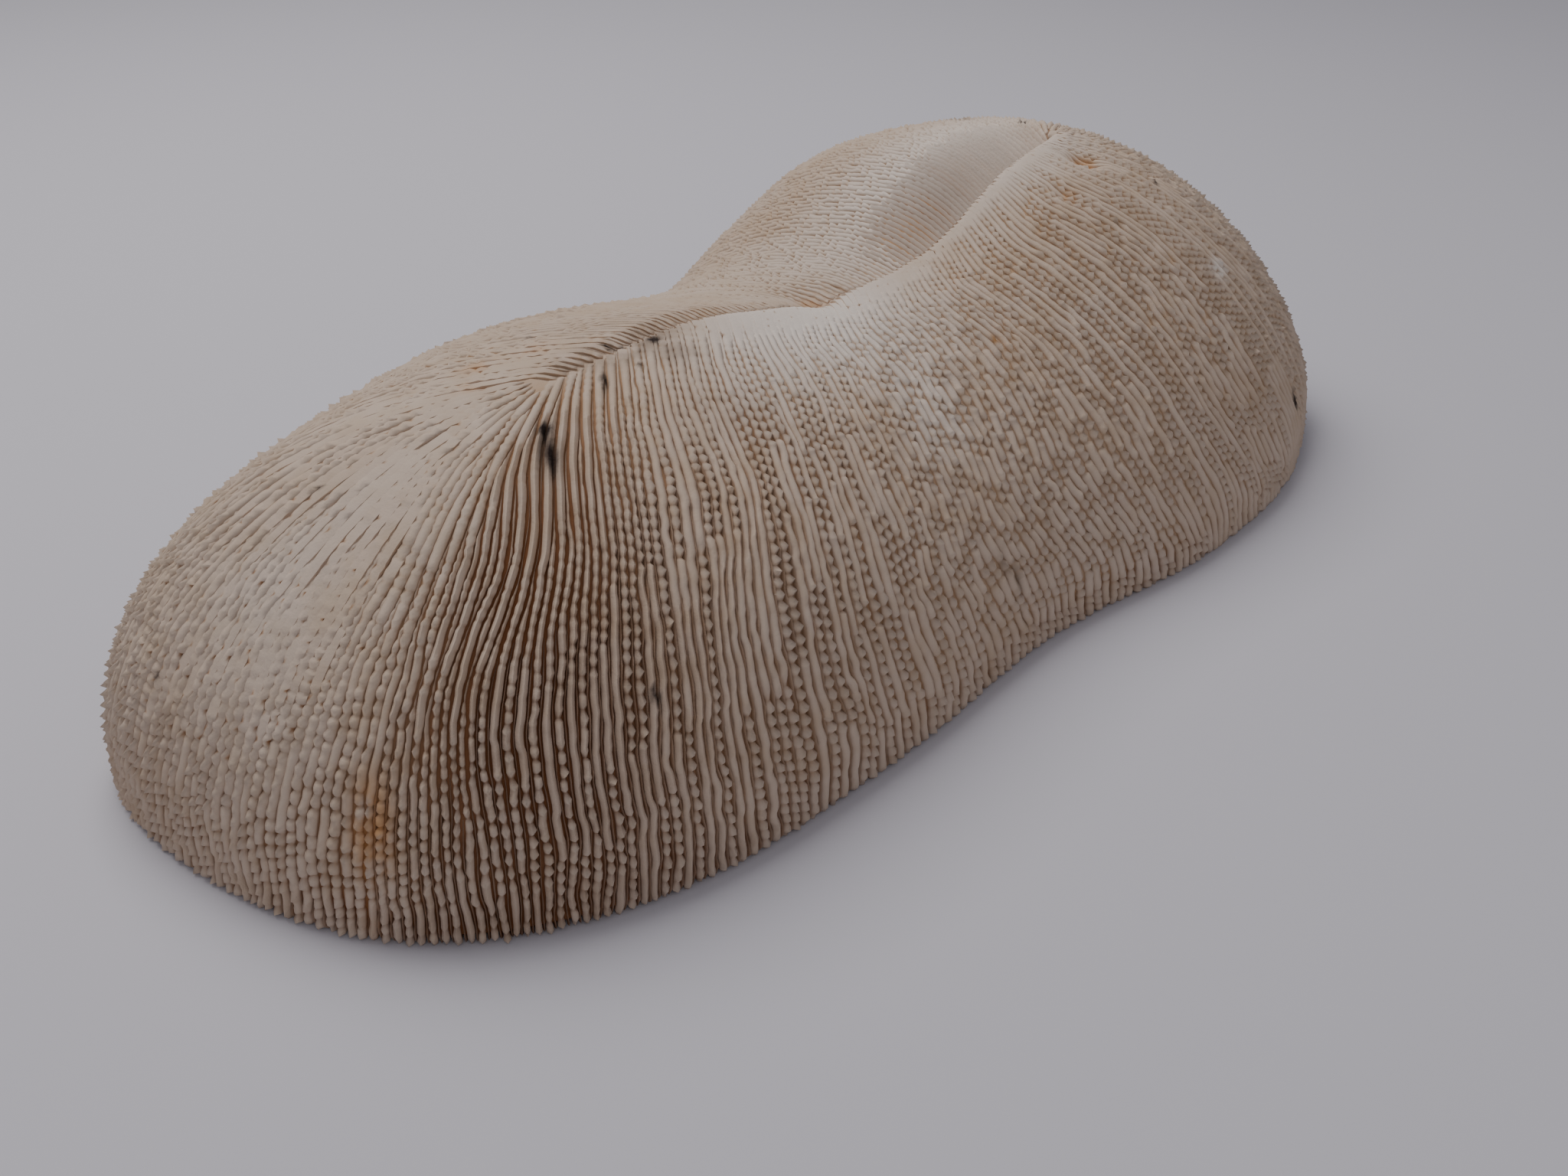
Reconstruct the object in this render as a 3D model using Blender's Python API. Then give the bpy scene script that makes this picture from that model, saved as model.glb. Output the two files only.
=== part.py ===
"""Mushroom coral: one elongated, arched coral skeleton that rests on its rim.

The plan is two broad lobes with a slight waist. A furrow runs along the crest,
and ridges (septa) run from it, down every flank, to a toothed rim. The underside
is hollow, with finer ribs (costae). The long axis is X and the rim rests on z = 0.
All sizes are in metres.
"""

import bmesh
import bpy
import numpy as np

NAME = "corallum"

# Rim seen from above, from the near tip (-X) round the front (-Y) to the far tip and back
RIM = np.array(
    [
        (-0.2090, 0.0010, 0.0000),
        (-0.1925, -0.0515, 0.0000),
        (-0.1455, -0.0830, 0.0000),
        (-0.0750, -0.0930, 0.0000),
        (0.0000, -0.0935, 0.0000),
        (0.0700, -0.1060, 0.0000),
        (0.1380, -0.1025, 0.0000),
        (0.1900, -0.0735, 0.0110),
        (0.2090, 0.0010, 0.0250),
        (0.1890, 0.0750, 0.0380),
        (0.1380, 0.1060, 0.0425),
        (0.0700, 0.0985, 0.0305),
        (0.0000, 0.0875, 0.0075),
        (-0.0750, 0.1045, 0.0000),
        (-0.1465, 0.0855, 0.0000),
        (-0.1985, 0.0570, 0.0000),
    ]
)
FAR_TIP = len(RIM) // 2

# Line of the crest, which carries the furrow, from its near end to its far end
CREST = np.array(
    [
        (-0.0995, -0.0060, 0.0900),
        (-0.0513, -0.0055, 0.0900),
        (-0.0031, -0.0095, 0.0815),
        (0.0451, -0.0115, 0.0830),
        (0.0933, -0.0070, 0.0950),
        (0.1415, 0.0020, 0.0940),
    ]
)

# The septa fan out from the furrow's ends within this many rim points of each tip
NEAR_FAN = 1.0
FAR_FAN = 0.8

# Roundness of the flanks: 2 is an ellipse, less is straighter
FLANK_NEAR_FRONT = 1.94
FLANK_FAR_FRONT = 1.76
FLANK_FAR_BACK = 2.13
FLANK_NEAR_BACK = 2.13
FLANK_UNDERSIDE = 2.30

# Depth of the furrow at points evenly spaced along the crest
FURROW_DEPTH = np.array([0.0015, 0.0025, 0.0010, 0.0060, 0.0090, 0.0030])
FURROW_LIP = 0.035

# Secondary mouths and hollows beside the furrow: x, y, radius and depth of each
MOUTHS = np.array(
    [
        (0.1280, -0.0190, 0.0070, 0.0045),
        (0.0980, -0.0300, 0.0060, 0.0015),
        (-0.0020, -0.0080, 0.0080, 0.0030),
        (-0.0820, -0.0450, 0.0140, 0.0020),
    ]
)

SEPTA = 120
SEPTUM_RISE = 0.0008
GROOVE_DROP = 0.0024
TOOTH = 0.0030
TOOTH_SETBACK = 0.0015
COSTA_RISE = 0.0008

CREST_THICKNESS = 0.019
RIM_EDGE = 0.003
RIM_BAND = 0.0075

UPPER_ROWS = 12
UNDER_ROWS = 5

BONE = (0.70, 0.59, 0.44, 1.0)
BONE_ROUGHNESS = 0.85


def cubic(before, start, end, after, u):
    """Catmull-Rom value between start and end."""
    return 0.5 * (
        2 * start
        + (end - before) * u
        + (2 * before - 5 * start + 4 * end - after) * u**2
        + (3 * start - before - 3 * end + after) * u**3
    )


def along_closed(values, t):
    """Smooth closed curve through the values, one unit of t apart."""
    i = np.floor(t).astype(int)
    u = t - i
    if values.ndim > 1:
        u = u[..., None]
    return cubic(*(values[(i + k) % len(values)] for k in (-1, 0, 1, 2)), u)


def along_open(values, c):
    """Smooth open curve through the values, for c from 0 to 1."""
    last = len(values) - 1
    x = np.clip(c, 0, 1) * last
    i = np.minimum(np.floor(x).astype(int), last - 1)
    u = x - i
    if values.ndim > 1:
        u = u[..., None]
    return cubic(*(values[np.clip(i + k, 0, last)] for k in (-1, 0, 1, 2)), u)


def smooth(x):
    x = np.clip(x, 0, 1)
    return x * x * (3 - 2 * x)


def crest_place(t):
    """Where on the crest, 0 to 1, the septum that ends at rim place t begins."""
    from_near = np.where(t > FAR_TIP, len(RIM) - t, t)
    x = np.clip((from_near - NEAR_FAN) / (FAR_TIP - FAR_FAN - NEAR_FAN), 0, 1)
    return 0.5 * (x + smooth(x))


def flank(t):
    """Roundness of the flank at rim place t."""
    near_front = [FLANK_NEAR_FRONT] * 4
    far_front = [FLANK_FAR_FRONT] * 3
    far_back = [FLANK_FAR_BACK] * 3
    near_back = [FLANK_NEAR_BACK] * 3
    waist_front = [(FLANK_NEAR_FRONT + FLANK_FAR_FRONT) / 2]
    tip = [(FLANK_FAR_FRONT + FLANK_FAR_BACK) / 2]
    waist_back = [(FLANK_FAR_BACK + FLANK_NEAR_BACK) / 2]
    rounds = near_front + waist_front + far_front + tip + far_back + waist_back + near_back
    return along_closed(np.array(rounds), t)


def dome(rim, crest, roundness, r):
    """Points on a dome from crest (r = 0) to rim (r = 1)."""
    angle = r * np.pi / 2
    out = np.sin(angle) ** (2 / roundness)
    up = np.maximum(np.cos(angle), 0) ** (2 / roundness)
    plan = crest[..., :2] + (rim[..., :2] - crest[..., :2]) * out[..., None]
    height = rim[..., 2] + (crest[..., 2] - rim[..., 2]) * up
    return np.concatenate([plan, height[..., None]], axis=-1)


def rim_at(t):
    rim = along_closed(RIM, t)
    rim[..., 2] = np.maximum(rim[..., 2], 0)
    return rim


def upper(t, r):
    """Smooth upper face, with no furrow, mouths or septa."""
    crest = along_open(CREST, crest_place(t))
    return dome(rim_at(t), crest, flank(t), r)


def outward(face, t, r, step=1e-3):
    """Unit normals of a face."""
    r = np.clip(r, step, 1 - step)
    across = face(t + step, r) - face(t - step, r)
    down = face(t, r + step) - face(t, r - step)
    normal = np.cross(down, across)
    return normal / np.maximum(np.linalg.norm(normal, axis=-1, keepdims=True), 1e-12)


def inset_rim(t, inset):
    """The rim, moved in towards the crest by inset."""
    rim = rim_at(t)
    inward = along_open(CREST, crest_place(t))[..., :2] - rim[..., :2]
    inward /= np.linalg.norm(inward, axis=-1, keepdims=True)
    rim[..., :2] += inward * inset
    return rim


def under(t, r):
    """Smooth wall of the hollow underneath, from its top line to the rim's inner edge."""
    crest = along_open(CREST, crest_place(t))
    crest[..., 2] -= CREST_THICKNESS
    return dome(inset_rim(t, RIM_BAND), crest, FLANK_UNDERSIDE, r)


def septate_upper(t, r, ridge):
    """Upper face with its furrow, mouths, septa and rim teeth. Ridge is 1 on a septum, 0 between two."""
    points = upper(t, r)
    normals = outward(upper, t, r)
    swell = smooth((r - FURROW_LIP) / 0.3)
    points += normals * ((SEPTUM_RISE + GROOVE_DROP) * ridge - GROOVE_DROP)[:, None] * swell[:, None]
    in_furrow = np.clip(1 - r / FURROW_LIP, 0, 1)
    points[:, 2] -= along_open(FURROW_DEPTH, crest_place(t)) * in_furrow
    for x, y, radius, depth in MOUTHS:
        distance = np.hypot(points[:, 0] - x, points[:, 1] - y)
        points[:, 2] -= depth * np.exp(-((distance / radius) ** 2))
    at_rim = r >= 1
    between = at_rim & (ridge < 0.5)
    points[at_rim] = inset_rim(t, 0)[at_rim]
    points[between] = inset_rim(t, TOOTH_SETBACK)[between]
    points[between, 2] += TOOTH
    return points


def ribbed_under(t, r, ridge):
    """Hollow underside with its costae."""
    swell = smooth(r / 0.3) * smooth((1 - r) / 0.2)
    points = under(t, r)
    points -= outward(under, t, r) * (COSTA_RISE * ridge * swell)[:, None]
    return points


def row_places():
    """For each row of the mesh: the face it is on and its place there."""
    spread = np.linspace(FURROW_LIP + 0.045, 1, UPPER_ROWS)
    rows = [("upper", r) for r in (0, FURROW_LIP, *spread)]
    rows += [("rim", RIM_EDGE), ("rim", RIM_BAND)]
    rows += [("under", r) for r in np.linspace(1, 0, UNDER_ROWS + 1)[1:]]
    return rows


def shape_corallum():
    """A grid of columns round the coral and rows over it, wrapped on its form and welded."""
    rows = row_places()
    columns = 2 * SEPTA
    mesh = bmesh.new()
    bmesh.ops.create_grid(mesh, x_segments=columns, y_segments=len(rows) - 1, size=0.5)
    column = [round((v.co.x + 0.5) * columns) for v in mesh.verts]
    row = [round((v.co.y + 0.5) * (len(rows) - 1)) for v in mesh.verts]
    column = np.array(column) % columns
    row = np.array(row)
    t = column * len(RIM) / columns
    ridge = (column % 2 == 0).astype(float)
    points = np.zeros((len(row), 3))
    for number, (face, place) in enumerate(rows):
        on = row == number
        r = np.full(on.sum(), float(place))
        if face == "upper":
            points[on] = septate_upper(t[on], r, ridge[on])
        elif face == "rim":
            points[on] = inset_rim(t[on], place)
        else:
            points[on] = ribbed_under(t[on], r, ridge[on])
    for vertex, point in zip(mesh.verts, points):
        vertex.co = point
    bmesh.ops.remove_doubles(mesh, verts=mesh.verts, dist=1e-5)
    bmesh.ops.recalc_face_normals(mesh, faces=mesh.faces)
    return mesh


def bone_material():
    material = bpy.data.materials.new("bone")
    material.use_nodes = True
    shader = material.node_tree.nodes["Principled BSDF"]
    shader.inputs["Base Color"].default_value = BONE
    shader.inputs["Roughness"].default_value = BONE_ROUGHNESS
    shader.inputs["Metallic"].default_value = 0.0
    return material


def main():
    for old in list(bpy.data.objects):
        bpy.data.objects.remove(old, do_unlink=True)
    coral = bpy.data.collections.new("mushroom_coral")
    bpy.context.scene.collection.children.link(coral)
    shape = shape_corallum()
    mesh = bpy.data.meshes.new(NAME)
    shape.to_mesh(mesh)
    shape.free()
    mesh.materials.append(bone_material())
    coral.objects.link(bpy.data.objects.new(NAME, mesh))


main()
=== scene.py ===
"""Mushroom coral: the finished look of one dry, elongated coral skeleton.

The skeleton grew as one piece. Its wall is an arched shell of two broad lobes with a
slight waist. Septa, the ridges, run from the furrow along its crest down every flank
to a comb of teeth at the rim. They carry rows of teeth, are fused around rows of pores
at the near tip, and have thin lamellae between them. The hollow underside has costae.

All sizes are in metres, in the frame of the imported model: the long axis is X, the near
lobe is at -X, the flank that faces the viewer is at -Y, and the rim rests on z = 0.
"""

import logging
from dataclasses import dataclass, field
from enum import Enum
from typing import Sequence

import bpy
import numpy as np
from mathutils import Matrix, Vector


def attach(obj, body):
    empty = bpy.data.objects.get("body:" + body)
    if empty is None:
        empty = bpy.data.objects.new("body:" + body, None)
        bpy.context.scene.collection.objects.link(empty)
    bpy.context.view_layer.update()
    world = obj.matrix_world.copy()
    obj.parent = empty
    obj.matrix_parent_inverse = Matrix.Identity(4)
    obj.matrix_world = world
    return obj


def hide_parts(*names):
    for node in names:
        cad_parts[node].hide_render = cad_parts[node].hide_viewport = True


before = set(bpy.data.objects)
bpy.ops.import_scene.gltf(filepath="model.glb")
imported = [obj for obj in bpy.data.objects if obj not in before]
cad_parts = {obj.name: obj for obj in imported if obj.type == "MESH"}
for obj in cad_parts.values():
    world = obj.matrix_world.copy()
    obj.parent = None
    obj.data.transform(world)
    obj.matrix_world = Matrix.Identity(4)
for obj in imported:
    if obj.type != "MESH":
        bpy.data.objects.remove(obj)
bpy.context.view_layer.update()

LOG = logging.getLogger("mushroom_coral")
BODY = "root"
NODE = "corallum"

Colour = tuple[float, float, float]

# Rim seen from above, from the near tip (-X) round the front (-Y) to the far tip and back
RIM = np.array(
    [
        (-0.2090, 0.0010, 0.0000),
        (-0.1925, -0.0515, 0.0000),
        (-0.1455, -0.0830, 0.0000),
        (-0.0750, -0.0930, 0.0000),
        (0.0000, -0.0935, 0.0000),
        (0.0700, -0.1060, 0.0000),
        (0.1380, -0.1025, 0.0000),
        (0.1900, -0.0735, 0.0110),
        (0.2090, 0.0010, 0.0250),
        (0.1890, 0.0750, 0.0380),
        (0.1380, 0.1060, 0.0425),
        (0.0700, 0.0985, 0.0305),
        (0.0000, 0.0875, 0.0075),
        (-0.0750, 0.1045, 0.0000),
        (-0.1465, 0.0855, 0.0000),
        (-0.1985, 0.0570, 0.0000),
    ]
)
TURN = len(RIM)
FAR_TIP = TURN // 2

# Line of the crest, which carries the furrow, from its near end to its far end
CREST = np.array(
    [
        (-0.0995, -0.0060, 0.0900),
        (-0.0513, -0.0055, 0.0900),
        (-0.0031, -0.0095, 0.0815),
        (0.0451, -0.0115, 0.0830),
        (0.0933, -0.0070, 0.0950),
        (0.1415, 0.0020, 0.0940),
    ]
)


def smooth(x: np.ndarray) -> np.ndarray:
    """Smooth step from 0 to 1 as x goes from 0 to 1."""
    x = np.clip(x, 0, 1)
    return x * x * (3 - 2 * x)


def unit(vectors: np.ndarray) -> np.ndarray:
    """Vectors scaled to length 1."""
    return vectors / np.maximum(np.linalg.norm(vectors, axis=-1, keepdims=True), 1e-12)


def cubic(
    before: np.ndarray, start: np.ndarray, end: np.ndarray, after: np.ndarray, u: np.ndarray
) -> np.ndarray:
    """Catmull-Rom value between start and end.

    Args:
        before: Value before the stretch.
        start: Value at the start of the stretch.
        end: Value at its end.
        after: Value after it.
        u: Place on the stretch, 0 to 1.

    Returns:
        The smooth value at u.
    """
    return 0.5 * (
        2 * start
        + (end - before) * u
        + (2 * before - 5 * start + 4 * end - after) * u**2
        + (3 * start - before - 3 * end + after) * u**3
    )


def along_closed(values: np.ndarray, t: np.ndarray) -> np.ndarray:
    """Smooth closed curve through values that are one unit of t apart."""
    i = np.floor(t).astype(int)
    u = t - i
    if values.ndim > 1:
        u = u[..., None]
    return cubic(*(values[(i + k) % len(values)] for k in (-1, 0, 1, 2)), u)


def along_open(values: np.ndarray, c: np.ndarray) -> np.ndarray:
    """Smooth open curve through values that are evenly spaced for c from 0 to 1."""
    last = len(values) - 1
    x = np.clip(c, 0, 1) * last
    i = np.minimum(np.floor(x).astype(int), last - 1)
    u = x - i
    if values.ndim > 1:
        u = u[..., None]
    return cubic(*(values[np.clip(i + k, 0, last)] for k in (-1, 0, 1, 2)), u)


@dataclass(frozen=True)
class Hollow:
    """A secondary mouth or dent: a round hollow in the upper face."""

    x: float
    y: float
    radius: float
    depth: float


@dataclass(frozen=True)
class Form:
    """The smooth shape that every piece follows.

    A place on it is (t, r). t goes once round the rim, from 0 at the near tip by way
    of the front, 4 at the waist and 8 at the far tip. r goes from 0 at the crest to 1
    at the rim.
    """

    near_fan: float = 1.0
    far_fan: float = 0.8
    near_front: float = 1.94
    far_front: float = 1.76
    far_back: float = 2.13
    near_back: float = 2.13
    underside: float = 2.30
    crest_thickness: float = 0.019
    rim_band: float = 0.0075
    furrow_depth: tuple[float, ...] = (0.0015, 0.0025, 0.0010, 0.0060, 0.0090, 0.0030)
    front_lip: float = 0.030
    back_lip: float = 0.150
    hollows: tuple[Hollow, ...] = (
        Hollow(0.1280, -0.0190, 0.0052, 0.0042),
        Hollow(0.0980, -0.0300, 0.0050, 0.0013),
        Hollow(-0.0020, -0.0080, 0.0080, 0.0030),
        Hollow(-0.0820, -0.0450, 0.0140, 0.0020),
    )

    def rim(self, t: np.ndarray) -> np.ndarray:
        """Points on the rim."""
        rim = along_closed(RIM, t)
        rim[..., 2] = np.maximum(rim[..., 2], 0)
        return rim

    def crest_place(self, t: np.ndarray) -> np.ndarray:
        """Where on the crest, 0 to 1, the septum that ends at rim place t begins."""
        from_near = np.where(t > FAR_TIP, TURN - t, t)
        x = np.clip((from_near - self.near_fan) / (FAR_TIP - self.far_fan - self.near_fan), 0, 1)
        return 0.5 * (x + smooth(x))

    def flank(self, t: np.ndarray) -> np.ndarray:
        """Roundness of the flank at rim place t: 2 is an ellipse, less is straighter."""
        waist_front = (self.near_front + self.far_front) / 2
        tip = (self.far_front + self.far_back) / 2
        waist_back = (self.far_back + self.near_back) / 2
        front = [self.near_front] * 4 + [waist_front] + [self.far_front] * 3
        back = [tip] + [self.far_back] * 3 + [waist_back] + [self.near_back] * 3
        return along_closed(np.array(front + back), t)

    @staticmethod
    def dome(rim: np.ndarray, crest: np.ndarray, roundness: np.ndarray | float, r: np.ndarray) -> np.ndarray:
        """Points on a dome.

        Args:
            rim: Where the dome ends, at r = 1.
            crest: Where it begins, at r = 0.
            roundness: Exponent of its section.
            r: Place between the two.

        Returns:
            One point for each place.
        """
        angle = r * np.pi / 2
        out = np.sin(angle) ** (2 / roundness)
        up = np.maximum(np.cos(angle), 0) ** (2 / roundness)
        plan = crest[..., :2] + (rim[..., :2] - crest[..., :2]) * out[..., None]
        height = rim[..., 2] + (crest[..., 2] - rim[..., 2]) * up
        return np.concatenate([plan, height[..., None]], axis=-1)

    def plain(self, t: np.ndarray, r: np.ndarray) -> np.ndarray:
        """The upper face without its furrow and hollows."""
        t = np.mod(t, TURN)
        return self.dome(self.rim(t), along_open(CREST, self.crest_place(t)), self.flank(t), r)

    def upper(self, t: np.ndarray, r: np.ndarray) -> np.ndarray:
        """The upper face with its furrow and hollows, and no septa."""
        t = np.mod(t, TURN)
        points = self.plain(t, r)
        c = self.crest_place(t)
        slit = smooth((c - 0.42) / 0.15)
        lip = np.where(t < FAR_TIP, self.front_lip, self.front_lip + (self.back_lip - self.front_lip) * slit)
        depth = along_open(np.array(self.furrow_depth), c)
        fall = np.clip(1 - r / lip, 0, 1)
        points[..., 2] -= depth * np.where(lip > 2 * self.front_lip, fall**2, smooth(fall))
        for hollow in self.hollows:
            distance = np.hypot(points[..., 0] - hollow.x, points[..., 1] - hollow.y)
            points[..., 2] -= hollow.depth * np.exp(-((distance / hollow.radius) ** 2))
        return points

    def inset_rim(self, t: np.ndarray, inset: np.ndarray | float) -> np.ndarray:
        """The rim, moved in towards the crest by inset."""
        t = np.mod(t, TURN)
        rim = self.rim(t)
        inward = unit(along_open(CREST, self.crest_place(t))[..., :2] - rim[..., :2])
        rim[..., :2] += inward * np.asarray(inset)[..., None]
        return rim

    def under(self, t: np.ndarray, r: np.ndarray) -> np.ndarray:
        """The wall of the hollow underneath, from its top line to the rim's inner edge."""
        t = np.mod(t, TURN)
        crest = along_open(CREST, self.crest_place(t))
        crest[..., 2] -= self.crest_thickness
        return self.dome(self.inset_rim(t, self.rim_band), crest, self.underside, r)

    @staticmethod
    def normal(face, t: np.ndarray, r: np.ndarray, step: float = 1e-3) -> np.ndarray:
        """Unit normals of a face, pointing up or out."""
        r = np.clip(r, step, 1 - step)
        across = face(t + step, r) - face(t - step, r)
        down = face(t, r + step) - face(t, r - step)
        return unit(np.cross(down, across))


@dataclass(frozen=True)
class Unevenness:
    """Smooth variation over the surface, the same on every run."""

    seed: int
    cells_round: int
    cells_down: int

    def at(self, t: np.ndarray, r: np.ndarray) -> np.ndarray:
        """Values from -1 to 1 at places on the form."""
        shape = (self.cells_round, self.cells_down + 1)
        lattice = np.random.default_rng(self.seed).uniform(-1, 1, shape)
        x = np.mod(t, TURN) / TURN * self.cells_round
        y = np.clip(r, 0, 1) * self.cells_down
        i = np.floor(x).astype(int)
        j = np.minimum(np.floor(y).astype(int), self.cells_down - 1)
        u = smooth(x - i)
        v = smooth(y - j)
        i0 = i % self.cells_round
        i1 = (i + 1) % self.cells_round
        near = lattice[i0, j] * (1 - u) + lattice[i1, j] * u
        far = lattice[i0, j + 1] * (1 - u) + lattice[i1, j + 1] * u
        return near * (1 - v) + far * v


@dataclass(frozen=True)
class Patch:
    """A soft-edged area of the form where a quality takes its own value."""

    t: float
    r: float
    across: float
    along: float
    value: float


@dataclass(frozen=True)
class Quality:
    """A quality that varies over the form: a base value and the patches laid on it in order."""

    base: float
    patches: tuple[Patch, ...]

    def at(self, t: np.ndarray, r: np.ndarray) -> np.ndarray:
        """The quality's values at places on the form."""
        value = np.full(np.shape(t), self.base, float)
        for patch in self.patches:
            dt = np.mod(t - patch.t + TURN / 2, TURN) - TURN / 2
            distance = np.abs(dt / patch.across) ** 3 + np.abs((r - patch.r) / patch.along) ** 3
            value += (patch.value - value) * np.exp(-distance)
        return value


# How open and deep the grooves between the septa are
OPENNESS = Quality(
    0.34,
    (
        Patch(1.95, 0.72, 1.30, 0.42, 0.75),
        Patch(1.40, 0.58, 0.55, 0.42, 1.00),
        Patch(2.42, 0.33, 0.32, 0.14, 0.70),
        Patch(0.30, 0.88, 0.95, 0.14, 0.60),
        Patch(3.40, 0.08, 1.10, 0.20, 0.05),
        Patch(13.2, 0.60, 0.80, 0.40, 0.70),
    ),
)

# How far the septa are cut into teeth
TEETH = Quality(
    1.0,
    (
        Patch(1.35, 0.24, 0.62, 0.24, 0.15),
        Patch(1.30, 0.50, 0.42, 0.14, 0.45),
        Patch(2.20, 0.16, 0.55, 0.14, 0.40),
        Patch(3.40, 0.04, 1.10, 0.14, 0.55),
        Patch(-0.60, 0.42, 1.15, 0.36, 0.45),
        Patch(10.2, 0.00, 1.70, 0.18, 0.10),
        Patch(6.30, 0.00, 2.00, 0.08, 0.30),
        Patch(13.2, 0.25, 0.80, 0.25, 0.30),
    ),
)

# How far the septa are fused into a plate with rows of pores
FUSION = Quality(
    0.0,
    (
        Patch(-0.60, 0.44, 1.12, 0.34, 1.00),
        Patch(6.30, -0.02, 2.00, 0.08, 1.00),
        Patch(3.40, 0.02, 1.10, 0.13, 0.60),
        Patch(14.3, 0.30, 0.70, 0.25, 0.80),
    ),
)

# Half the width of a septum as a share of the room it has
BREADTH = Quality(
    0.455,
    (
        Patch(1.75, 0.80, 0.95, 0.30, 0.36),
        Patch(1.38, 0.48, 0.58, 0.46, 0.33),
        Patch(13.2, 0.60, 0.80, 0.50, 0.36),
        Patch(10.2, 0.00, 1.70, 0.16, 0.26),
    ),
)

# How far the teeth end in points
SPIKES = Quality(
    0.30,
    (
        Patch(14.6, 0.62, 1.60, 0.36, 0.85),
        Patch(7.90, 0.62, 1.50, 0.34, 0.80),
        Patch(0.40, 0.42, 0.90, 0.30, 0.10),
    ),
)

# Where the back wall of the far furrow is deeply cleft
CLEFT = Quality(0.0, (Patch(10.1, 0.0, 1.55, 0.15, 1.0),))

# How brown the grooves are
UMBER = Quality(
    0.06,
    (
        Patch(1.80, 0.75, 1.30, 0.40, 0.50),
        Patch(1.40, 0.58, 0.52, 0.42, 1.00),
        Patch(2.42, 0.33, 0.34, 0.14, 0.45),
        Patch(0.30, 0.90, 0.90, 0.14, 0.60),
        Patch(-0.55, 0.45, 1.05, 0.42, 0.10),
        Patch(13.2, 0.60, 0.80, 0.40, 0.50),
        Patch(10.2, 0.00, 1.60, 0.12, 0.45),
    ),
)

# How bleached the tops are
BLEACH = Quality(
    0.10,
    (
        Patch(3.35, 0.10, 0.80, 0.20, 0.90),
        Patch(3.65, 0.38, 0.20, 0.12, 0.55),
        Patch(-0.10, 0.42, 0.30, 0.18, 0.30),
        Patch(10.4, 0.10, 1.60, 0.20, 0.80),
        Patch(6.20, 0.06, 1.40, 0.10, 0.45),
        Patch(6.04, 0.49, 0.10, 0.02, 0.90),
    ),
)


class Stain(Enum):
    """Kinds of mark on the skeleton, by the attribute that holds each."""

    GRIME = "Grime"
    SOOT = "Soot"
    RUST = "Rust"


@dataclass(frozen=True)
class Mark:
    """A stain or speck: its place in plan, its two radii, its turn in degrees and its strength."""

    stain: Stain
    x: float
    y: float
    long: float
    wide: float
    turn: float
    strength: float

    def at(self, points: np.ndarray) -> np.ndarray:
        """Strength of the mark at points on the upper face."""
        angle = np.radians(self.turn)
        dx = points[:, 0] - self.x
        dy = points[:, 1] - self.y
        along = (dx * np.cos(angle) + dy * np.sin(angle)) / self.long
        across = (dy * np.cos(angle) - dx * np.sin(angle)) / self.wide
        return self.strength * np.exp(-((along**2 + across**2) ** 1.5))


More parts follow.
